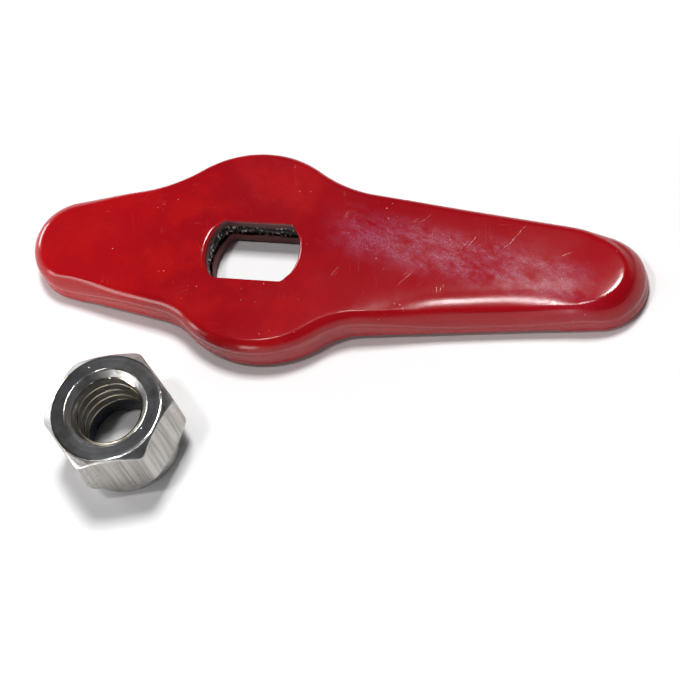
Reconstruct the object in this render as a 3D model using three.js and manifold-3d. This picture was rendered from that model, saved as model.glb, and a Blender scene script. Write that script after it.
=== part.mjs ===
// Spare handle of a seacock: a dip-coated lever that fits a double-D stem, with its nylon-insert
// lock nut lying beside it, bearing face up. Millimetres, +Z up. The lever lies along X with its
// long arm towards +X, and everything stands on z = 0.
import * as THREE from "three";
import { mergeVertices } from "three/addons/utils/BufferGeometryUtils.js";
import Module from "manifold-3d";

const wasm = await Module();
wasm.setup();

// Driving dimensions, mm
const HANDLE_H = 7.6; // to the top of the coated lever, which stands on its two ends
const FOOT_H = 0.6; // the ends reach this far below the rest of the underside
const FOOT_FROM = [-29.6, 51.2]; // the underside is raised between these two places along the lever
const COAT_T = 1.1; // vinyl skin
const FIT_GAP = 0.3; // between the skin and the steel, and round the nylon ring
const EDGE_R = 1.7; // rounding of the coated edges
const BOSS_R = 17.9;
const BOSS_SKEW = 1.5; // the two sides of the boss are this far out of line, each its own way
const LONG_ARM = { dir: 1, reach: 56.9, tip: 7.4, taper: 6.0 };
const SHORT_ARM = { dir: -1, reach: 31.6, tip: 8.0, taper: 10.2 };
const FILLETS = { far: 24, near: 12 }; // where the arms run into the +Y and -Y sides of the boss
const STEM_R = 7.9; // double-D stem slot: round ends
const STEM_FLAT = 5.2; // and its flats, from the axis
const SLOT_OFF = new THREE.Vector2(-0.5, -0.4); // the slot sits a little off the boss's centre
const BOSS_AT = new THREE.Vector2(-12.35, 12.84);

const NUT_AF = 19.05; // across the flats
const NUT_H = 14.0;
const NUT_HEX_H = 10.2; // hexagon, from the bearing face
const NUT_BEARING_R = 9.1;
const NUT_CHAMFER = 36; // degrees, both ends of the hexagon
const COLLAR_R = 8.9;
const COLLAR_ROUND = 1.2;
const THREAD_R = 6.35; // 1/2-13
const THREAD_PITCH = 1.954;
const THREAD_DEPTH = 1.0;
const THREAD_L = 8.4;
const SINK_R = 6.9; // countersink at the bearing face
const POCKET_R = 7.9; // pocket of the nylon ring
const LIP_R = 7.2; // lip rolled over the ring
const LIP_T = 0.8;
const RING_BORE_R = 5.9;
const NUT_AT = new THREE.Vector2(-28.85, -20.14);
const NUT_TURN = 14.4; // degrees

const rad = THREE.MathUtils.degToRad;

// Solids and meshes

function toSolid(geometry) {
  const shape = geometry.index ? geometry.toNonIndexed() : geometry.clone();
  shape.deleteAttribute("normal");
  shape.deleteAttribute("uv");
  const merged = mergeVertices(shape, 1e-4);
  const mesh = new wasm.Mesh({
    numProp: 3,
    vertProperties: new Float32Array(merged.attributes.position.array),
    triVerts: new Uint32Array(merged.index.array),
  });
  return new wasm.Manifold(mesh);
}

function toGeometry(solid) {
  const mesh = solid.getMesh();
  const geometry = new THREE.BufferGeometry();
  geometry.setAttribute("position", new THREE.BufferAttribute(mesh.vertProperties, 3));
  geometry.setIndex(new THREE.BufferAttribute(mesh.triVerts, 1));
  geometry.computeVertexNormals();
  return geometry;
}

function part(name, solid, material) {
  const mesh = new THREE.Mesh(toGeometry(solid), material);
  mesh.name = name;
  return mesh;
}

function plate(points, low, high) {
  const options = { depth: high - low, bevelEnabled: false };
  const geometry = new THREE.ExtrudeGeometry(new THREE.Shape(points), options);
  geometry.translate(0, 0, low);
  return toSolid(geometry);
}

// A profile of [radius, z] pairs, turned about Z
function turned(profile, sides) {
  const points = profile.map(([r, z]) => new THREE.Vector2(r, z));
  const geometry = new THREE.LatheGeometry(points, sides);
  geometry.rotateX(Math.PI / 2);
  return toSolid(geometry);
}

function arc(cx, cy, r, from, to, steps) {
  const points = [];
  for (let i = 0; i <= steps; i += 1) {
    const a = from + ((to - from) * i) / steps;
    points.push(new THREE.Vector2(cx + r * Math.cos(a), cy + r * Math.sin(a)));
  }
  return points;
}

// The lever

// One side of one arm, from the end of its round tip, along the straight tapered edge and round the
// fillet to the boss. It is worked out as if the arm ran to +X and the side were +Y, then mirrored.
function armSide(arm, side, inset) {
  const taper = rad(arm.taper);
  const bossX = -side * BOSS_SKEW * arm.dir;
  const fillet = side > 0 ? FILLETS.far : FILLETS.near;
  const out = new THREE.Vector2(Math.sin(taper), Math.cos(taper));
  const along = new THREE.Vector2(-Math.cos(taper), Math.sin(taper));
  const start = new THREE.Vector2(arm.reach - bossX, 0).addScaledVector(out, arm.tip + fillet);
  const b = start.dot(along);
  const rest = start.lengthSq() - (BOSS_R + fillet) ** 2;
  const centre = start.clone().addScaledVector(along, -b - Math.sqrt(b * b - rest));
  const touch = centre.angle();
  const edgeFrom = Math.PI / 2 - taper;
  const tip = arc(arm.reach - bossX, 0, arm.tip - inset, 0, edgeFrom, 8);
  const bend = arc(centre.x, centre.y, fillet + inset, edgeFrom - Math.PI, touch - Math.PI, 7);
  const place = (p) => new THREE.Vector2(arm.dir * (p.x + bossX), side * p.y);
  return { points: [...tip, ...bend].map(place), touch: arm.dir > 0 ? touch : Math.PI - touch };
}

function outline(inset) {
  const half = (side) => {
    const long = armSide(LONG_ARM, side, inset);
    const short = armSide(SHORT_ARM, side, inset);
    const boss = arc(-side * BOSS_SKEW, 0, BOSS_R - inset, long.touch, short.touch, 18);
    boss.forEach((p) => p.setY(side * p.y));
    return [...long.points, ...boss.slice(1, -1), ...short.points.reverse()];
  };
  return [...half(1), ...half(-1).reverse().slice(1, -1)];
}

// The stem slot: a circle with two flats along the lever
function slotOutline() {
  const end = Math.asin(STEM_FLAT / STEM_R);
  const right = arc(0, 0, STEM_R, -end, end, 12);
  const left = arc(0, 0, STEM_R, Math.PI - end, Math.PI + end, 12);
  return [...right, ...left].map((p) => p.add(SLOT_OFF));
}

function slotCut() {
  return plate(slotOutline(), -1, HANDLE_H + 1);
}

function handleCore() {
  const inset = COAT_T + FIT_GAP;
  return plate(outline(inset), FOOT_H + inset, HANDLE_H - inset).subtract(slotCut());
}

// The dipped skin: rounded outside, hollow for the steel, open at the slot
function handleCoating() {
  const options = {
    depth: HANDLE_H - 2 * EDGE_R,
    bevelSize: EDGE_R,
    bevelThickness: EDGE_R,
    bevelOffset: -EDGE_R,
    bevelSegments: 4,
  };
  const skin = new THREE.ExtrudeGeometry(new THREE.Shape(outline(0)), options);
  skin.translate(0, 0, EDGE_R);
  const hollow = plate(outline(COAT_T), FOOT_H + COAT_T, HANDLE_H - COAT_T);
  const relief = new THREE.BoxGeometry(FOOT_FROM[1] - FOOT_FROM[0], 4 * BOSS_R, 2 * FOOT_H);
  relief.translate((FOOT_FROM[0] + FOOT_FROM[1]) / 2, 0, 0);
  return toSolid(skin).subtract(hollow).subtract(slotCut()).subtract(toSolid(relief));
}

// The lock nut, made with its bearing face on z = 0 and its collar up

function hexagon() {
  const corner = NUT_AF / Math.sqrt(3);
  const points = arc(0, 0, corner, 0, 2 * Math.PI, 6).slice(0, 6);
  const cone = (r) => (corner + 1 - r) * Math.tan(rad(NUT_CHAMFER));
  const low = cone(NUT_BEARING_R);
  const top = NUT_HEX_H;
  const profile = [
    [0, 0],
    [NUT_BEARING_R, 0],
    [corner + 1, low],
    [corner + 1, top - low],
    [NUT_BEARING_R, top],
    [0, top],
  ];
  return plate(points, 0, top).intersect(turned(profile, 48));
}

function collar() {
  const top = NUT_H;
  const round = arc(COLLAR_R - COLLAR_ROUND, top - COLLAR_ROUND, COLLAR_ROUND, 0, Math.PI / 2, 4);
  const profile = [[0, 1], [COLLAR_R, 1], ...round.map((p) => [p.x, p.y]), [0, top]];
  return turned(profile, 48);
}

// The tap that cuts the internal thread: a cylinder whose side follows a right-hand helix
function threadTap() {
  const length = THREAD_L + 2;
  const rows = Math.ceil((length / THREAD_PITCH) * 6);
  const tap = new THREE.CylinderGeometry(THREAD_R, THREAD_R, length, 32, rows);
  tap.rotateX(Math.PI / 2);
  const at = tap.attributes.position;
  for (let i = 0; i < at.count; i += 1) {
    const x = at.getX(i);
    const y = at.getY(i);
    const z = at.getZ(i);
    const r = Math.hypot(x, y);
    if (r > 1) {
      const turn = z / THREAD_PITCH - Math.atan2(y, x) / (2 * Math.PI);
      const wave = Math.abs(2 * (turn - Math.floor(turn)) - 1);
      const depth = THREE.MathUtils.clamp(wave * 1.6 - 0.4, 0, 1);
      const k = (THREAD_R - THREAD_DEPTH * (1 - depth)) / r;
      at.setXY(i, x * k, y * k);
    }
  }
  tap.translate(0, 0, length / 2 - 1);
  return toSolid(tap);
}

function bored(r, low, high) {
  return turned([[0, low], [r, low], [r, high], [0, high]], 48);
}

function nutBody() {
  const sink = SINK_R - THREAD_R + THREAD_DEPTH;
  const countersink = turned([[0, -1], [SINK_R + 1, -1], [SINK_R - sink, sink], [0, sink]], 48);
  const pocket = bored(POCKET_R, THREAD_L, NUT_H - LIP_T);
  const mouth = bored(LIP_R, THREAD_L, NUT_H + 1);
  const blank = hexagon().add(collar());
  return blank.subtract(threadTap()).subtract(countersink).subtract(pocket).subtract(mouth);
}

function nylonInsert() {
  const low = THREAD_L + FIT_GAP;
  const high = NUT_H - LIP_T - FIT_GAP;
  const outer = POCKET_R - FIT_GAP;
  const soft = 0.4;
  const profile = [
    [RING_BORE_R, low + soft],
    [RING_BORE_R + soft, low],
    [outer, low],
    [outer, high],
    [RING_BORE_R + soft, high],
    [RING_BORE_R, high - soft],
    [RING_BORE_R, low + soft],
  ];
  return turned(profile, 48);
}

// Materials

function steel() {
  return new THREE.MeshStandardMaterial({ color: 0x3c3633, roughness: 0.75, metalness: 0.9 });
}

function redVinyl() {
  return new THREE.MeshStandardMaterial({ color: 0xa81219, roughness: 0.22, metalness: 0 });
}

function stainless() {
  return new THREE.MeshStandardMaterial({ color: 0xb4b0aa, roughness: 0.3, metalness: 1 });
}

function darkNylon() {
  return new THREE.MeshStandardMaterial({ color: 0x10131c, roughness: 0.35, metalness: 0 });
}

// Assembly

function lever() {
  const group = new THREE.Group();
  group.position.set(BOSS_AT.x, BOSS_AT.y, 0);
  group.add(part("handle_core", handleCore(), steel()));
  group.add(part("handle_coating", handleCoating(), redVinyl()));
  return group;
}

function lockNut() {
  const group = new THREE.Group();
  group.position.set(NUT_AT.x, NUT_AT.y, NUT_H);
  group.rotation.set(Math.PI, 0, -rad(NUT_TURN));
  group.add(part("nut_body", nutBody(), stainless()));
  group.add(part("nylon_insert", nylonInsert(), darkNylon()));
  return group;
}

const object = new THREE.Group();
object.add(lever());
object.add(lockNut());

export default object;
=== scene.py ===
import math

import bpy
import numpy as np
from mathutils import Matrix, Vector
from mathutils.geometry import delaunay_2d_cdt

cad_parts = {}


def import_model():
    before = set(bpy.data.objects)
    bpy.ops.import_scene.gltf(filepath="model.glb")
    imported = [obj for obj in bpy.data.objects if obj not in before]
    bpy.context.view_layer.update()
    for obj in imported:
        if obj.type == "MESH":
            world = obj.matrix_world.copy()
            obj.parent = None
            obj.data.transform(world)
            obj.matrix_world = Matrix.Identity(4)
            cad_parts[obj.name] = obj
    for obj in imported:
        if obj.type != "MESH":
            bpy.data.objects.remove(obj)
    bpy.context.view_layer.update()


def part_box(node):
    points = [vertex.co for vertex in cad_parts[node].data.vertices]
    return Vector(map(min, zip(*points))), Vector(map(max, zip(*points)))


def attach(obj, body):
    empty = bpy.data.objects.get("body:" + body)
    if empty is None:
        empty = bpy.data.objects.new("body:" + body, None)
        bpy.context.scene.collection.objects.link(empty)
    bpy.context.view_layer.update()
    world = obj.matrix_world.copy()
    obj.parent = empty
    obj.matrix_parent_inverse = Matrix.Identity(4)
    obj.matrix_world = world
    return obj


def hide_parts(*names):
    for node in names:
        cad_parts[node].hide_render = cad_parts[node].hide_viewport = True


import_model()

MM = 0.001

# The lever, in mm, about the middle of its boss
BOSS_R, BOSS_SKEW = 17.9, 1.5
LONG_ARM = dict(dir=1, reach=56.9, tip=7.4, taper=6.0)
SHORT_ARM = dict(dir=-1, reach=31.6, tip=8.0, taper=10.2)
FILLETS = {1: 24.0, -1: 12.0}
TOP, FOOT = 7.6, 0.6
FOOT_FROM = (-29.6, 51.2)
STEM_R, STEM_FLAT = 7.9, 5.2
SLOT_OFF = np.array([-0.5, -0.4])
SKIN = 1.15
CORNER = 1.2  # radius of the slot's corners
INSIDE = 9.0  # this far in from the outline, every edge's rounding has run out

# The nut, in mm, about its own axis, collar down
AF, NUT_H, HEX_FROM, CHAMFER = 19.05, 14.0, 3.8, 36
BEARING_R, COLLAR_R, THREAD_R, DEPTH, PITCH = 9.1, 8.9, 6.35, 1.0, 1.954
SINK_R, POCKET_R, LIP_R, RING_BORE_R = 6.9, 7.9, 7.2, 5.9
POCKET_TOP, LIP_TOP = 5.6, 0.8
COLLAR_ROUND = 1.2
FACE, FLATS, COLLAR, THREAD = range(4)  # the nut's material slots

coat_lo, coat_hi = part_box("handle_coating")
SHORT_REACH = (SHORT_ARM["reach"] + SHORT_ARM["tip"]) * MM
BOSS = Vector((coat_lo[0] + SHORT_REACH, coat_hi[1] - BOSS_R * MM, 0))
nut_lo, nut_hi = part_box("nut_body")
NUT = Vector(((nut_lo[0] + nut_hi[0]) / 2, (nut_lo[1] + nut_hi[1]) / 2, 0))
NUT_TURN = math.radians(14.4)


# ---------------------------------------------------------------- meshes

def add_piece(name, verts, faces, materials, at, slots=None, sharp=None):
    """A mesh in mm about `at`, as a Blender object in metres."""
    mesh = bpy.data.meshes.new(name)
    mesh.from_pydata([tuple(v) for v in np.asarray(verts, float) * MM], [], faces)
    for m in materials:
        mesh.materials.append(m)
    if slots is not None:
        mesh.polygons.foreach_set("material_index", slots)
    mesh.polygons.foreach_set("use_smooth", [True] * len(mesh.polygons))
    mesh.update()
    mesh.validate()
    if sharp:
        mesh.set_sharp_from_angle(angle=math.radians(sharp))
    obj = bpy.data.objects.new(name, mesh)
    obj.location = at
    bpy.context.scene.collection.objects.link(obj)
    return obj


def arc(cx, cy, r, a0, a1, n):
    a = np.linspace(a0, a1, n + 1)
    return np.c_[cx + r * np.cos(a), cy + r * np.sin(a)]


def arm_side(arm, side, inset):
    taper = math.radians(arm["taper"])
    boss = -side * BOSS_SKEW * arm["dir"]
    f = FILLETS[side]
    out = np.array([math.sin(taper), math.cos(taper)])
    along = np.array([-math.cos(taper), math.sin(taper)])
    start = np.array([arm["reach"] - boss, 0]) + out * (arm["tip"] + f)
    b = start @ along
    c = start + along * (-b - math.sqrt(b * b - (start @ start - (BOSS_R + f) ** 2)))
    touch = math.atan2(c[1], c[0])
    edge = math.pi / 2 - taper
    tip = arc(arm["reach"] - boss, 0, arm["tip"] - inset, 0, edge, 36)
    bend = arc(c[0], c[1], f + inset, edge - math.pi, touch - math.pi, 30)
    t = np.linspace(0, 1, 31)[1:-1, None]
    straight = tip[-1] + (bend[0] - tip[-1]) * t
    p = np.r_[tip, straight, bend]
    p = np.c_[arm["dir"] * (p[:, 0] + boss), side * p[:, 1]]
    return p, (touch if arm["dir"] > 0 else math.pi - touch)


def outline(inset):
    """The lever's plan outline, moved in by inset; the same number of points each time."""
    halves = []
    for side in (1, -1):
        long, a0 = arm_side(LONG_ARM, side, inset)
        short, a1 = arm_side(SHORT_ARM, side, inset)
        boss = arc(-side * BOSS_SKEW, 0, BOSS_R - inset, a0, a1, 46)[1:-1]
        boss[:, 1] *= side
        halves.append(np.r_[long, boss, short[::-1]])
    return np.r_[halves[0], halves[1][::-1][1:-1]]


def slot_ring(out):
    """The stem slot's outline, moved outwards by out."""
    r, f = STEM_R - CORNER, STEM_FLAT - CORNER
    a = math.asin(f / r)
    cx = r * math.cos(a)
    quarter = np.r_[
        arc(0, 0, STEM_R + out, 0, a, 12)[:-1],
        arc(cx, f, CORNER + out, a, math.pi / 2, 8),
        np.c_[np.linspace(cx, 0, 13)[1:], np.full(12, STEM_FLAT + out)],
    ]
    left = quarter[::-1][1:] * [-1, 1]
    top = np.r_[quarter, left]
    return np.r_[top, top[::-1][1:-1] * [1, -1]] + SLOT_OFF


def step(a, b, x):
    t = np.clip((np.asarray(x, float) - a) / (b - a), 0, 1)
    return t * t * (3 - 2 * t)


def drop(d, r):
    """How far a quarter-round edge of radius r has fallen, d in from its outside."""
    k = np.clip(r - d, 0, r)
    return r - np.sqrt(np.maximum(r * r - k * k, 0))


def edge_r(x):
    return 0.95 + 0.3 * step(20, 36, x) + 2.0 * step(-22, -36, x)


def wave(x, y):
    """The slight unevenness of a dipped skin."""
    return 0.022 * np.sin(0.31 * x + 0.9) * np.cos(0.27 * y - 0.4) + 0.012 * np.sin(0.13 * x - 0.5 * y)


def slump(x, y, d):
    """How far the skin has sunk towards its edges: most along the near side of the long arm."""
    long = step(17, 34, x)
    near = step(60, 50, x) * step(1, -3, y)
    deep = (1.6 * long - 0.4 * step(44, 52, x)) * near * np.clip(1 - d / 6.2, 0, 1) ** 2
    slight = (0.08 + 0.15 * long + 0.35 * step(-14, -28, x)) * np.clip(1 - d / 6.3, 0, 1) ** 3
    return deep + slight


def bevel(x, y, d):
    """Along the near side and round the end of the long arm the skin falls away in a plain slope."""
    end = step(50, 61, x)
    width = np.maximum(1.45 * step(0, -6, y) * step(-40, -30, x), 2.6 * end)
    steep = 0.8 + 0.15 * step(53, 61, x)
    u = width - d
    return steep * np.minimum(width, 1) * (u + np.sqrt(u * u + 0.02 + 0.07 * end)) / 2


def top_z(p, d):
    x, y = p[:, 0], p[:, 1]
    crown = slump(x, y, d) + bevel(x, y, d)
    bow = 0.35 * step(20, 64, x) + 0.25 * step(-14, -38, x)
    return TOP - 0.03 - drop(d, edge_r(x)) - crown - bow + wave(x, y)


def under_z(p, d):
    """The underside: flat, and raised between the two ends that the lever stands on."""
    x = p[:, 0]
    first, last = FOOT_FROM
    raised = step(first - 0.7, first + 0.7, x) * step(last + 0.7, last - 0.7, x)
    return FOOT * raised + drop(d, 1.0)


def plain_top(p):
    return top_z(p, np.full(len(p), INSIDE))


def plain_under(p):
    return under_z(p, np.full(len(p), INSIDE))


def filled(inner, outer, grid):
    """Points and triangles between a slot ring and an outline ring, with loose points about grid apart."""
    lo, hi = outer.min(0), outer.max(0)
    xs = np.arange(lo[0] + grid / 2, hi[0], grid)
    ys = np.arange(lo[1] + grid / 2, hi[1], grid)
    pts = np.array([(x + (j % 2) * grid / 2, y) for j, y in enumerate(ys) for x in xs])

    def inside(points, ring):
        a, b = ring, np.roll(ring, -1, 0)
        cross = (a[:, 1] > points[:, 1:2]) != (b[:, 1] > points[:, 1:2])
        with np.errstate(divide="ignore", invalid="ignore"):
            at = a[:, 0] + (points[:, 1:2] - a[:, 1]) * (b[:, 0] - a[:, 0]) / (b[:, 1] - a[:, 1])
        return (cross & (points[:, 0:1] < at)).sum(1) % 2 == 1

    def far(points, ring):
        return np.sqrt(((points[:, None] - ring[None]) ** 2).sum(2)).min(1) > grid * 0.45

    pts = pts[inside(pts, outer) & ~inside(pts, inner)]
    pts = pts[far(pts, outer) & far(pts, inner)]
    n, m = len(inner), len(outer)
    every = np.r_[inner, outer, pts]
    edges = [(i, (i + 1) % n) for i in range(n)] + [(n + i, n + (i + 1) % m) for i in range(m)]
    out = delaunay_2d_cdt([Vector(p) for p in every], edges, [], 0, 1e-7)
    co = np.array([tuple(v) for v in out[0]])
    assert len(co) == len(every)
    mid = np.array([co[list(f)].mean(0) for f in out[2]])
    keep = inside(mid, outer) & ~inside(mid, inner)
    return pts, [tuple(f) for f, k in zip(out[2], keep) if k]


class Builder:
    """Collects rings of points and the faces between them."""

    def __init__(self):
        self.co, self.faces = [], []

    def add(self, xy, z):
        first = sum(len(c) for c in self.co)
        self.co.append(np.c_[xy, np.broadcast_to(z, len(xy))])
        return np.arange(first, first + len(xy))

    def strip(self, a, b):
        """Quads from ring a to ring b; they face left of a, looking from a to b."""
        n = len(a)
        self.faces += [(int(a[i]), int(a[(i + 1) % n]), int(b[(i + 1) % n]), int(b[i])) for i in range(n)]

    def fill(self, inner, outer, pts, tris, z, up=True):
        loose = self.add(pts, z)
        ids = np.r_[inner, outer, loose]
        for t in tris:
            f = tuple(int(ids[i]) for i in t)
            self.faces.append(f if up else f[::-1])


def ragged_edge(count):
    """The uneven line, in mm up or down, along which the film of skin in the slot ends."""
    turn = np.arange(count)
    return 0.10 * np.sin(turn * 0.37) + 0.07 * np.sin(turn * 0.83 + 1) + 0.04 * np.sin(turn * 1.9)


def coating(material):
    """The dipped skin: outside, slot lips and the hollow that the steel fills."""
    b = Builder()
    depths = [
        0, 0.02, 0.07, 0.15, 0.26, 0.4, 0.57, 0.78, 1.02, 1.25, 1.45, 1.65,
        1.85, 2.05, 2.25, 2.45, 2.65, 2.85, 3.1, 3.4, 3.9, 4.6, 5.4, 6.4,
    ]
    lips = [0, 0.015, 0.06, 0.13, 0.23, 0.36, 0.52, 0.7, 0.95, 1.5]
    outer = [outline(d) for d in depths]
    pts, tris = filled(slot_ring(lips[-1]), outer[-1], 1.1)

    # Top, from the outside in, and the slot's lip, softer at its round ends than along its flats
    top = [b.add(p, top_z(p, np.full(len(p), d))) for p, d in zip(outer, depths)]
    for low, high in zip(top, top[1:]):
        b.strip(low, high)
    soft = 0.16 + 0.6 * step(4.6, 3.2, np.abs(slot_ring(0)[:, 1] - SLOT_OFF[1]))
    lip = [b.add(slot_ring(e), plain_top(slot_ring(e)) - drop(e, soft)) for e in lips]
    for near, away in zip(lip, lip[1:]):
        b.strip(away, near)
    b.fill(lip[-1], top[-1], pts, tris, plain_top(pts))

    # Underside and its lip
    under = [b.add(p, under_z(p, np.full(len(p), d))) for p, d in zip(outer, depths)]
    for low, high in zip(under, under[1:]):
        b.strip(high, low)
    lip_u = [b.add(slot_ring(e), plain_under(slot_ring(e)) + drop(e, 0.5)) for e in lips]
    for near, away in zip(lip_u, lip_u[1:]):
        b.strip(near, away)
    b.fill(lip_u[-1], under[-1], pts, tris, plain_under(pts), up=False)

    # The side wall: a shallow groove above a fuller lower edge
    z1, z0 = b.co[0][:, 2], under_z(outer[0], np.zeros(len(outer[0])))
    rows = [under[0]]
    for t, inset in ((0.12, 0), (0.3, 0.02), (0.45, 0.1), (0.6, 0.16), (0.75, 0.1), (0.9, 0.02)):
        rows.append(b.add(outline(inset), z0 + (z1 - z0) * t))
    rows.append(top[0])
    for low, high in zip(rows, rows[1:]):
        b.strip(low, high)

    # Inside the slot the skin ends against the steel, and the hollow runs out to the sides
    ceiling, floor = TOP - SKIN - 0.3, FOOT + SKIN + 0.3
    hollow = outline(SKIN)
    pts2, tris2 = filled(slot_ring(0.25), hollow, 6.0)
    ragged = ragged_edge(len(soft))
    down = (0.0, 5.75 + ragged), (0.08, 5.62 + ragged), (0.2, 5.7 + ragged), (0.25, 5.95), (0.25, ceiling)
    hang = [lip[0]] + [b.add(slot_ring(e), z) for e, z in down]
    for a, c in zip(hang, hang[1:]):
        b.strip(a, c)
    roof = b.add(hollow, ceiling)
    b.fill(hang[-1], roof, pts2, tris2, ceiling, up=False)
    up = (0.0, 2.65 - ragged), (0.08, 2.78 - ragged), (0.2, 2.7 - ragged), (0.25, 2.4), (0.25, floor)
    rise = [lip_u[0]] + [b.add(slot_ring(e), z) for e, z in up]
    for a, c in zip(rise, rise[1:]):
        b.strip(c, a)
    base = b.add(hollow, floor)
    b.fill(rise[-1], base, pts2, tris2, floor)
    b.strip(roof, base)
    return add_piece("coating_skin", np.vstack(b.co), b.faces, [material], BOSS)


def core(material):
    """The steel bar; only its punched slot wall shows, so that is what is rough."""
    b = Builder()
    ceiling, floor = TOP - SKIN - 0.32, FOOT + SKIN + 0.32
    edge = outline(SKIN + 0.05)
    ring = slot_ring(0.32)
    pts, tris = filled(ring, edge, 6.0)
    rng = np.random.default_rng(7)
    last, n = 14, len(ring)
    out = (ring - SLOT_OFF) / np.linalg.norm(ring - SLOT_OFF, axis=1)[:, None]
    tear = 0.05 * np.sin(np.arange(n) * 0.9) + 0.04 * rng.standard_normal(n)
    walls = []
    for k in range(last + 1):
        t = k / last
        wall = ring
        if 0 < k < last:
            rough = 0.07 * rng.standard_normal(n) + tear * (0.3 + t)
            shear = 0.18 * step(0.55, 0.1, t)
            wall = ring + out * np.clip(rough + shear, -0.04, 0.3)[:, None]
        walls.append(b.add(wall, floor + (ceiling - floor) * t))
    for low, high in zip(walls, walls[1:]):
        b.strip(high, low)
    roof, base = b.add(edge, ceiling), b.add(edge, floor)
    b.fill(walls[-1], roof, pts, tris, ceiling)
    b.fill(walls[0], base, pts, tris, floor, up=False)
    b.strip(base, roof)
    return add_piece("core_bar", np.vstack(b.co), b.faces, [material], BOSS)


# ---------------------------------------------------------------- nut

def rounded_hex(theta, af, fillet):
    """Radius of a hexagon with slightly rounded corners, corners at multiples of 60 degrees."""
    a = (theta + math.pi / 6) % (math.pi / 3) - math.pi / 6
    flat = af / 2 / np.cos(math.pi / 6 - np.abs(a))
    c = (af / 2 - fillet) / math.cos(math.pi / 6)
    s = np.abs(np.sin(a)) * c
    round_r = c * np.cos(a) + np.sqrt(np.maximum(fillet ** 2 - s ** 2, 0))
    turn = math.atan2(fillet * math.sin(math.pi / 6), c + fillet * math.cos(math.pi / 6))
    return np.where(np.abs(a) < turn, round_r, flat)


def torus_grid(name, rows, materials, slots, at, sharp):
    """rows: list of (n, 3) rings that close round into a tube."""
    m, n = len(rows), len(rows[0])
    verts = np.vstack(rows)
    faces, index = [], []
    for j in range(m):
        k = (j + 1) % m
        for i in range(n):
            h = (i + 1) % n
            faces.append((j * n + i, j * n + h, k * n + h, k * n + i))
            index.append(slots[j])
    return add_piece(name, verts, faces, materials, at, index, sharp)


def nut_angles():
    a = np.linspace(0, 2 * math.pi, 361)[:-1]
    near = np.array([-1.6, -1.0, -0.5, 0.5, 1.0, 1.6]) * math.pi / 180
    extra = np.concatenate([k * math.pi / 3 + near for k in range(6)])
    return np.sort(np.r_[a, extra % (2 * math.pi)])


class Turning:
    """Rings about the nut's axis, each with the material slot of the band that starts there."""

    def __init__(self, theta):
        self.theta, self.rows, self.slots = theta, [], []

    def ring(self, r, z, slot):
        r = np.broadcast_to(r, self.theta.shape)
        z = np.broadcast_to(z, self.theta.shape)
        self.rows.append(np.c_[r * np.cos(self.theta), r * np.sin(self.theta), z])
        self.slots.append(slot)


def bearing_face(t):
    """From the countersink out to the first chamfer."""
    t.ring(SINK_R, NUT_H - 0.03, FACE)
    for r in (SINK_R + 0.03, 7.0, 7.3, 7.7, 8.2, 8.7, BEARING_R - 0.08):
        t.ring(r, NUT_H, FACE)
    t.ring(BEARING_R - 0.02, NUT_H - 0.01, FACE)
    t.ring(BEARING_R + 0.04, NUT_H - 0.04, FACE)


def hexagon(t):
    """Chamfer, flats and chamfer, with the edges between them worn round."""
    hexr = rounded_hex(t.theta - NUT_TURN, AF, 1.5)
    slope = math.tan(math.radians(CHAMFER))
    worn = [
        (0.3, 0.3 * slope - 0.01, FACE),
        (0.19, 0.19 * slope - 0.035, FACE),
        (0.09, 0.0, FACE),
        (0.03, -0.12, FLATS),
        (0.0, -0.32, FLATS),
    ]
    for k in (0.0, 0.35, 0.7):
        r = BEARING_R + 0.1 + (hexr - BEARING_R - 0.4) * k
        t.ring(r, NUT_H - (r - BEARING_R) * slope, FACE)
    under = NUT_H - (hexr - BEARING_R) * slope
    for back, rise, slot in worn:
        t.ring(hexr - back, under + rise, slot)
    over = HEX_FROM + (hexr - BEARING_R) * slope
    for k in (0.15, 0.35, 0.5, 0.65, 0.85):
        t.ring(hexr, (under - 0.32) * (1 - k) + (over + 0.32) * k, FLATS)
    for back, rise, _ in worn[::-1]:
        t.ring(hexr - back, over - rise, COLLAR)
    for k in (0.6, 0.3, 0.0):
        r = BEARING_R - 0.12 + (hexr - BEARING_R - 0.2) * k
        t.ring(r, HEX_FROM + (r - BEARING_R) * slope, COLLAR)


def collar(t):
    """A small root groove, the barrel, the lip rolled over the nylon ring and the ring's pocket."""
    t.ring(COLLAR_R + 0.02, HEX_FROM - 0.2, COLLAR)
    t.ring(COLLAR_R - 0.06, HEX_FROM - 0.34, COLLAR)
    t.ring(COLLAR_R, HEX_FROM - 0.5, COLLAR)
    for z in (3.0, 2.5, 2.0):
        t.ring(COLLAR_R, z, COLLAR)
    for a in np.radians(np.linspace(0, 90, 8)[1:]):
        r = COLLAR_R - COLLAR_ROUND + COLLAR_ROUND * math.cos(a)
        t.ring(r, COLLAR_ROUND - COLLAR_ROUND * math.sin(a), COLLAR)
    t.ring(LIP_R + 0.25, 0.0, COLLAR)
    t.ring(LIP_R + 0.05, 0.08, COLLAR)
    t.ring(LIP_R, 0.3, COLLAR)
    t.ring(LIP_R, LIP_TOP, COLLAR)
    t.ring(POCKET_R, LIP_TOP + 0.02, COLLAR)
    t.ring(POCKET_R, POCKET_TOP - 0.02, COLLAR)


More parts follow.
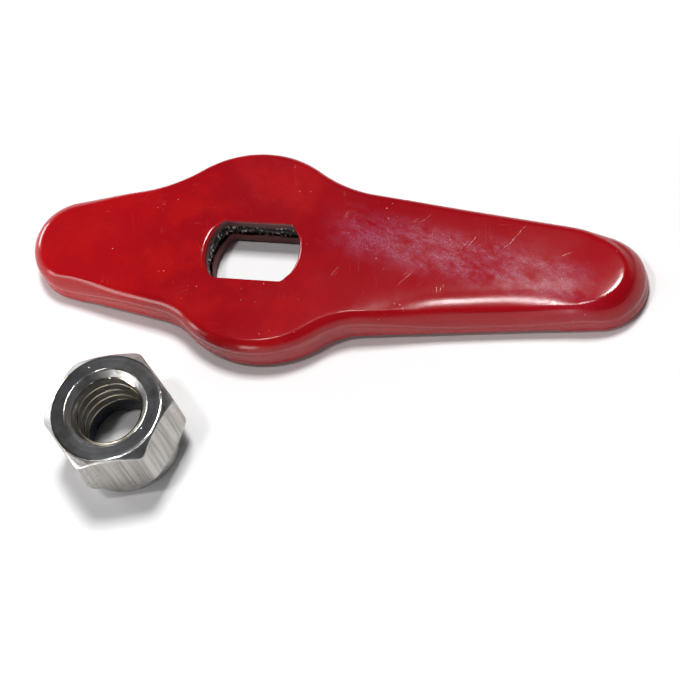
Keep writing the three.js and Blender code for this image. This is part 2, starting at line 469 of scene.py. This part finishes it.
def thread(t):
    """The internal thread, a single helix from the pocket up into the countersink."""
    sink_from = NUT_H - (SINK_R - THREAD_R + DEPTH)
    count = int((NUT_H - POCKET_TOP) / PITCH * 20)
    t.ring(THREAD_R + 0.3, POCKET_TOP, THREAD)
    for z in np.linspace(POCKET_TOP, NUT_H - 0.12, count):
        turn = z / PITCH - t.theta / (2 * math.pi)
        w = np.abs(2 * (turn - np.floor(turn)) - 1)
        s = np.clip(w * 1.35 - 0.2, 0, 1)
        s = s * s * (3 - 2 * s)
        r = np.maximum(THREAD_R - DEPTH * (1 - s), SINK_R + z - NUT_H)
        t.ring(r, z, THREAD if z < sink_from + 0.5 else FACE)


def nut(turned, drawn, threaded):
    t = Turning(nut_angles())
    bearing_face(t)
    hexagon(t)
    collar(t)
    thread(t)
    return torus_grid("nut_shell", t.rows, [turned, drawn, turned, threaded], t.slots, NUT, 50)


def ring_insert(material):
    t = Turning(np.linspace(0, 2 * math.pi, 181)[:-1])
    lo, hi = LIP_TOP + 0.15, POCKET_TOP - 0.15
    inner, outer = RING_BORE_R - 0.05, POCKET_R - 0.2
    edge = [(0.55, 0.0), (0.25, 0.1), (0.06, 0.35), (0.0, 0.8)]
    profile = [(inner + r, lo + z) for r, z in edge]
    profile += [(inner - 0.03, (lo + hi) / 2)]
    profile += [(inner + r, hi - z) for r, z in edge[::-1]]
    profile += [(outer, hi), (outer, lo)]
    for r, z in profile:
        t.ring(r, z, 0)
    return torus_grid("insert_ring", t.rows, [material], t.slots, NUT, 60)


# ---------------------------------------------------------------- materials

class Nodes:
    """A little shorthand for building node trees."""

    def __init__(self, name):
        self.mat = bpy.data.materials.new(name)
        self.mat.use_nodes = True
        self.tree = self.mat.node_tree
        self.bsdf = self.tree.nodes["Principled BSDF"]
        self.co = self.tree.nodes.new("ShaderNodeTexCoord").outputs["Object"]

    def node(self, kind, inputs=None, **props):
        n = self.tree.nodes.new(kind)
        for k, v in props.items():
            setattr(n, k, v)
        for k, v in (inputs or {}).items():
            self.put(v, n.inputs[k])
        return n

    def put(self, v, socket):
        if isinstance(v, bpy.types.NodeSocket):
            self.tree.links.new(v, socket)
        else:
            socket.default_value = v

    def place(self, scale=(1, 1, 1), at=(0, 0, 0)):
        n = self.node("ShaderNodeMapping", {"Vector": self.co, "Scale": scale, "Location": at})
        return n.outputs["Vector"]

    def drawn_out(self, angle, length, at=(0, 0, 0), vector=None):
        """Coordinates that stretch a texture by length, across the direction at angle degrees."""
        n = self.node("ShaderNodeMapping", {
            "Vector": vector or self.co,
            "Scale": (1, length, 1),
            "Rotation": (0, 0, math.radians(angle)),
            "Location": at,
        }, vector_type="TEXTURE")
        return n.outputs["Vector"]

    def noise(self, scale, vector=None, detail=2.0, rough=0.5):
        n = self.node("ShaderNodeTexNoise", {
            "Vector": vector or self.co, "Scale": scale, "Detail": detail, "Roughness": rough,
        })
        return n.outputs["Fac"]

    def cells(self, scale, vector=None):
        n = self.node("ShaderNodeTexVoronoi", {"Vector": vector or self.co, "Scale": scale})
        return n.outputs["Distance"]

    def ramp(self, fac, a, b, lo=0.0, hi=1.0):
        n = self.node("ShaderNodeMapRange", {
            "Value": fac, "From Min": a, "From Max": b, "To Min": lo, "To Max": hi,
        }, interpolation_type="SMOOTHSTEP")
        return n.outputs["Result"]

    def math(self, op, a, b=0.0):
        n = self.tree.nodes.new("ShaderNodeMath")
        n.operation = op
        self.put(a, n.inputs[0])
        self.put(b, n.inputs[1])
        return n.outputs[0]

    def times(self, a, b):
        return self.math("MULTIPLY", a, b)

    def plus(self, a, b):
        return self.math("ADD", a, b)

    def mix(self, fac, a, b):
        n = self.tree.nodes.new("ShaderNodeMix")
        n.data_type = "RGBA"
        self.put(fac, n.inputs[0])
        self.put(a, n.inputs[6])
        self.put(b, n.inputs[7])
        return n.outputs[2]

    def axis(self, name):
        return self.node("ShaderNodeSeparateXYZ", {"Vector": self.co}).outputs[name]

    def radius(self):
        """Distance from the piece's upright axis."""
        x, y = self.axis("X"), self.axis("Y")
        return self.math("SQRT", self.plus(self.times(x, x), self.times(y, y)))

    def bump(self, height, strength, distance, normal=None):
        n = self.node("ShaderNodeBump", {"Height": height, "Strength": strength, "Distance": distance})
        if normal:
            self.put(normal, n.inputs["Normal"])
        return n.outputs["Normal"]

    def set(self, **inputs):
        for k, v in inputs.items():
            self.put(v, self.bsdf.inputs[k.replace("_", " ")])


def scratches(n, angles, scale, width, seed):
    """Fine hairlines: thin, slightly curved bands of stretched noise, in several directions."""
    sway = n.node("ShaderNodeTexNoise", {"Vector": n.co, "Scale": 45.0, "Detail": 1.0}).outputs["Color"]
    small = {0: sway, 1: (0.0025, 0.0025, 0.0)}
    sway = n.node("ShaderNodeVectorMath", small, operation="MULTIPLY").outputs[0]
    swayed = n.node("ShaderNodeVectorMath", {0: n.co, 1: sway}, operation="ADD").outputs[0]
    total = None
    for i, a in enumerate(angles):
        v = n.drawn_out(a, 20, (seed + i * 1.7, i * 0.9, 0), swayed)
        off = n.math("ABSOLUTE", n.math("SUBTRACT", n.noise(scale, v, 1.0), 0.5))
        line = n.ramp(off, 0.0, width, 1, 0)
        gate = n.ramp(n.noise(170, n.place(at=(seed * 3 + i, i * 0.4, 0)), 2.0), 0.62, 0.74)
        line = n.times(line, gate)
        total = line if total is None else n.math("MAXIMUM", total, line)
    return total


def specks(n, scale, spot, patch, at, gate):
    """Small round marks that come in patches; spot and gate are where each of the two fades."""
    marks = n.ramp(n.cells(scale), *spot)
    return n.times(marks, n.ramp(n.noise(patch, n.place(at=at), 2.0), *gate))


def scuff_and_painted_sheen(n):
    """Where the top of the long arm is scuffed, finely speckled: the mask for its rougher, pored skin and
    for the painted sheen tinted into its colour.
    """
    x, y = n.axis("X"), n.axis("Y")
    along = n.times(n.ramp(x, 0.008, 0.018), n.ramp(x, 0.062, 0.048))
    drift = n.plus(y, n.times(x, 0.19))
    across = n.ramp(n.math("ABSOLUTE", n.math("SUBTRACT", drift, 0.0074)), 0.0062, 0.0015)
    cloud = n.ramp(n.noise(330, n.drawn_out(66, 2.0), 6.0, 0.75), 0.36, 0.66)
    grain = n.ramp(n.noise(3300, None, 3.0, 0.8), 0.3, 0.7, 0.3, 1.0)
    return n.times(n.times(along, across), n.times(cloud, grain))


def red_vinyl():
    n = Nodes("red_vinyl")
    x = n.axis("X")
    tone = n.ramp(n.noise(28, None, 3.0), 0.35, 0.7)
    red = n.mix(tone, (0.262, 0.0012, 0.0052, 1), (0.305, 0.0018, 0.0060, 1))
    # Painted light: the red is made brighter towards the short arm, as if that side were lit more strongly
    warm = n.ramp(x, -0.002, -0.03)
    red = n.mix(n.times(warm, 0.8), red, (0.37, 0.0022, 0.0052, 1))
    # Painted sheen and painted glints on the long arm: where the skin is scuffed its colour is tinted
    # purple, with bright specks painted in
    scuff_and_sheen = scuff_and_painted_sheen(n)
    red = n.mix(n.times(scuff_and_sheen, 0.33), red, (0.27, 0.085, 0.23, 1))
    # Painted glints: bright specks in the colour, only where the painted sheen is
    painted_glints = n.ramp(n.cells(1900, n.place(at=(3, 1, 2))), 0.16, 0.07)
    painted_glints = n.times(painted_glints, n.ramp(scuff_and_sheen, 0.25, 0.6))
    red = n.mix(n.times(painted_glints, 0.45), red, (0.75, 0.50, 0.60, 1))
    # Hairlines, coarse and fine
    hair = scratches(n, (18, 62, 118, 155), 560, 0.008, 3.0)
    lines = n.math("MAXIMUM", hair, scratches(n, (12, 35, 98, 140), 900, 0.016, 9.0))
    red = n.mix(n.times(lines, 0.16), red, (0.62, 0.12, 0.10, 1))
    # Warmer, blotchy colour round the slot
    blotch = n.ramp(n.noise(120, n.place(at=(6, 3, 0)), 5.0, 0.7), 0.42, 0.66)
    blotch = n.times(blotch, n.ramp(x, 0.020, 0.004))
    red = n.mix(n.times(blotch, 0.5), red, (0.42, 0.0050, 0.0040, 1))
    # Specks of dust
    dust = specks(n, 1050, (0.13, 0.05), 210, (4, 2, 1), (0.57, 0.64))
    red = n.mix(n.times(dust, 0.7), red, (0.72, 0.42, 0.40, 1))
    # Grime inside the slot, with painted shade: the skin is made darker and duller down in the recess
    inside = n.times(n.ramp(n.radius(), 0.0092, 0.0086), n.ramp(n.axis("Z"), 0.0074, 0.0069))
    red = n.mix(n.times(inside, 0.8), red, (0.05, 0.0012, 0.003, 1))
    rough = n.plus(n.ramp(n.noise(70, None, 3.0), 0.3, 0.75, 0.13, 0.19), n.times(scuff_and_sheen, 0.20))
    rough = n.plus(rough, n.times(hair, 0.07))
    rough = n.plus(rough, n.times(inside, 0.4))
    # Orange peel, pores in the scuffed and sheened patch, dust standing up and hairlines cut in
    peel = n.bump(n.noise(330, None, 2.0), 0.05, 0.0004)
    pores = n.bump(n.times(scuff_and_sheen, n.noise(2400, None, 2.0)), 0.22, 0.00004, peel)
    cut = n.bump(n.math("SUBTRACT", dust, lines), 0.16, 0.00004, pores)
    n.set(Base_Color=red, Roughness=rough, Normal=cut)
    n.bsdf.inputs["Specular IOR Level"].default_value = 0.4
    n.bsdf.inputs["IOR"].default_value = 1.5
    return n.mat


def torn_steel():
    """Dark, torn steel in the punched slot; its bright grains are painted glints, pale specks in the
    colour.
    """
    n = Nodes("torn_steel")
    v = n.place(scale=(1, 1, 0.45))
    grain = n.noise(1500, v, 4.0, 0.65)
    # Painted glints: pale, non-metallic specks in the colour stand in for light glinting off the torn
    # grains
    painted_glint = n.ramp(n.noise(2300, v, 3.0), 0.53, 0.58)
    painted_glint = n.times(painted_glint, n.ramp(n.noise(600, None, 2.0), 0.40, 0.55))
    colour = n.mix(n.ramp(grain, 0.35, 0.7), (0.004, 0.003, 0.003, 1), (0.050, 0.040, 0.038, 1))
    colour = n.mix(painted_glint, colour, (0.85, 0.80, 0.78, 1))
    bump = n.bump(grain, 1.0, 0.0003)
    n.set(Base_Color=colour, Roughness=n.ramp(painted_glint, 0, 1, 0.62, 0.25), Normal=bump)
    n.set(Metallic=n.ramp(painted_glint, 0, 1, 0.8, 0.1))
    return n.mat


def turned_steel():
    """Machined on the lathe: fine rings about the axis, brushed duller off the bearing face."""
    n = Nodes("turned_steel")
    z = n.axis("Z")
    rz = n.node("ShaderNodeCombineXYZ", {"X": n.radius(), "Y": z, "Z": 0.0}).outputs[0]
    rings = n.noise(5200, rz, 2.0, 0.6)
    broad = n.noise(900, rz, 2.0)
    stain = n.noise(260, None, 4.0, 0.6)
    colour = n.mix(n.ramp(stain, 0.38, 0.66), (0.60, 0.60, 0.60, 1), (0.34, 0.315, 0.28, 1))
    colour = n.mix(n.times(n.ramp(rings, 0.62, 0.75), 0.35), colour, (0.78, 0.76, 0.72, 1))
    off_face = n.ramp(z, (NUT_H - 0.03) * MM, (NUT_H - 0.15) * MM)
    rough = n.ramp(n.plus(broad, n.times(stain, 0.4)), 0.4, 1.0, 0.11, 0.17)
    rough = n.plus(rough, n.times(off_face, 0.16))
    bump = n.bump(rings, 0.3, 0.00003)
    bump = n.bump(n.times(n.noise(1700, None, 4.0, 0.7), off_face), 0.6, 0.00012, bump)
    nick = specks(n, 1300, (0.16, 0.06), 380, (2, 5, 0), (0.58, 0.66))
    bump = n.bump(n.math("SUBTRACT", 0.0, nick), 0.5, 0.00005, bump)
    n.set(Base_Color=colour, Roughness=rough, Normal=bump)
    n.bsdf.inputs["Metallic"].default_value = 1.0
    n.bsdf.inputs["Anisotropic"].default_value = 0.3
    return n.mat


def drawn_steel():
    """The flats of the drawn hexagon bar: streaks along the axis, a few dark pits."""
    n = Nodes("drawn_steel")
    streak = n.noise(1500, n.place(scale=(1, 1, 0.03)), 3.0, 0.6)
    fine = n.noise(4200, n.place(scale=(1, 1, 0.03)), 2.0)
    stain = n.noise(330, n.place(scale=(1, 1, 0.4)), 4.0, 0.6)
    colour = n.mix(n.ramp(streak, 0.35, 0.65), (0.49, 0.47, 0.44, 1), (0.30, 0.285, 0.265, 1))
    colour = n.mix(n.times(n.ramp(stain, 0.55, 0.72), 0.4), colour, (0.34, 0.30, 0.27, 1))
    pit = specks(n, 900, (0.17, 0.07), 240, (7, 1, 3), (0.46, 0.56))
    colour = n.mix(pit, colour, (0.16, 0.10, 0.075, 1))
    bump = n.bump(n.plus(fine, n.times(streak, 0.6)), 0.25, 0.00003)
    bump = n.bump(n.math("SUBTRACT", 0.0, pit), 0.5, 0.00005, bump)
    n.set(Base_Color=colour, Roughness=n.ramp(streak, 0.3, 0.7, 0.30, 0.42), Normal=bump)
    n.bsdf.inputs["Metallic"].default_value = 1.0
    return n.mat


def thread_steel():
    """The tapped thread: tool marks round the bore and warm stain."""
    n = Nodes("thread_steel")
    tool = n.noise(3800, n.place(scale=(0.25, 0.25, 1)), 2.0, 0.6)
    stain = n.noise(420, None, 3.0)
    colour = n.mix(n.ramp(stain, 0.35, 0.7), (0.66, 0.60, 0.50, 1), (0.44, 0.38, 0.30, 1))
    bump = n.bump(tool, 0.25, 0.00003)
    n.set(Base_Color=colour, Roughness=n.ramp(tool, 0.3, 0.7, 0.13, 0.22), Normal=bump)
    n.bsdf.inputs["Metallic"].default_value = 1.0
    return n.mat


def nylon():
    n = Nodes("dark_nylon")
    grain = n.noise(1100, n.place(scale=(1, 1, 0.3)), 3.0)
    tone = n.ramp(grain, 0.3, 0.7)
    colour = n.mix(tone, (0.002, 0.005, 0.013, 1), (0.004, 0.010, 0.024, 1))
    rough = n.ramp(grain, 0.3, 0.7, 0.24, 0.36)
    n.set(Base_Color=colour, Roughness=rough, Normal=n.bump(grain, 0.15, 0.00004))
    n.bsdf.inputs["Specular IOR Level"].default_value = 0.1
    return n.mat


# ---------------------------------------------------------------- build

skin = coating(red_vinyl())
bar = core(torn_steel())
shell = nut(turned_steel(), drawn_steel(), thread_steel())
insert = ring_insert(nylon())

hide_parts("handle_coating")
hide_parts("handle_core")
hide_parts("nut_body")
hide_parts("nylon_insert")
for piece, body, slot in (
    (skin, "handle", "red_vinyl"),
    (bar, "handle", "bare_steel"),
    (shell, "lock_nut", "stainless"),
    (insert, "lock_nut", "dark_nylon"),
):
    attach(piece, body)


# ---------------------------------------------------------------- stage

def floor():
    """A pale floor 3 m across, just under the parts that stand on it."""
    n = Nodes("pale_floor")
    n.set(Base_Color=(0.86, 0.86, 0.855, 1), Roughness=0.9)
    n.bsdf.inputs["Specular IOR Level"].default_value = 0.1
    s = 1.5
    mesh = bpy.data.meshes.new("floor")
    mesh.from_pydata([(-s, -s, 0), (s, -s, 0), (s, s, 0), (-s, s, 0)], [], [(0, 1, 2, 3)])
    mesh.materials.append(n.mat)
    obj = bpy.data.objects.new("floor", mesh)
    obj.location.z = -0.00002
    bpy.context.scene.collection.objects.link(obj)


def world():
    """Pale near the horizon and dark above it, so that glossy tops keep their depth."""
    w = bpy.data.worlds.new("studio")
    bpy.context.scene.world = w
    w.use_nodes = True
    t = w.node_tree
    bg = t.nodes["Background"]
    co = t.nodes.new("ShaderNodeTexCoord")
    split = t.nodes.new("ShaderNodeSeparateXYZ")
    t.links.new(co.outputs["Generated"], split.inputs[0])
    ramp = t.nodes.new("ShaderNodeValToRGB")
    e = ramp.color_ramp.elements
    e[0].position, e[0].color = 0.02, (0.80, 0.80, 0.81, 1)
    e[1].position, e[1].color = 1.0, (0.07, 0.075, 0.09, 1)
    for at, shade in ((0.13, 0.62), (0.30, 0.045), (0.6, 0.05)):
        e.new(at).color = (shade, shade, shade * 1.05, 1)
    t.links.new(split.outputs["Z"], ramp.inputs["Fac"])
    t.links.new(ramp.outputs["Color"], bg.inputs["Color"])
    bg.inputs["Strength"].default_value = 1.0


def area(name, at, aim, size, power, colour=(1, 1, 1), size_y=None):
    light = bpy.data.lights.new(name, "AREA")
    light.energy = power
    light.color = colour
    light.size = size
    if size_y:
        light.shape = "RECTANGLE"
        light.size_y = size_y
    obj = bpy.data.objects.new(name, light)
    obj.location = at
    obj.rotation_euler = (Vector(aim) - Vector(at)).to_track_quat("-Z", "Y").to_euler()
    bpy.context.scene.collection.objects.link(obj)


def camera():
    """A long lens, turned about its own axis so that the lever lies nearly level in the picture."""
    turn, rise, roll = math.radians(36.41), math.radians(59.92), math.radians(-28.61)
    spin = Matrix.Rotation(turn, 3, "Z")
    right = spin @ Vector((1, 0, 0))
    up = spin @ Vector((0, math.sin(rise), math.cos(rise)))
    ahead = spin @ Vector((0, math.cos(rise), -math.sin(rise)))
    r = right * math.cos(roll) + up * math.sin(roll)
    u = -right * math.sin(roll) + up * math.cos(roll)
    cam = bpy.data.cameras.new("camera")
    cam.sensor_width = 36
    cam.lens = 185.294
    cam.clip_end = 50
    obj = bpy.data.objects.new("camera", cam)
    m = Matrix((r, u, -ahead)).transposed().to_4x4()
    m.translation = BOSS + Vector((183.70, -240.66, 490.95)) * MM
    obj.matrix_world = m
    bpy.context.scene.collection.objects.link(obj)
    bpy.context.scene.camera = obj


floor()
world()
area("key", (0.04, 0.32, 1.04), (0, 0, 0), 0.24, 10.2, (1.0, 1.0, 1.0))
area("sun", (-0.212, -0.169, 1.085), (0, 0, 0), 0.11, 2.7, (1.0, 0.98, 0.98))
area("side", (-0.95, 0.45, 0.16), (0, 0, 0.01), 0.4, 4.2, (1.0, 1.0, 1.0), 0.15)
area("low", (-0.62, -0.77, 0.16), (0, 0, 0), 1.1, 6.0, (1.0, 0.98, 0.98), 0.3)
camera()
bpy.context.scene.view_settings.view_transform = "Standard"
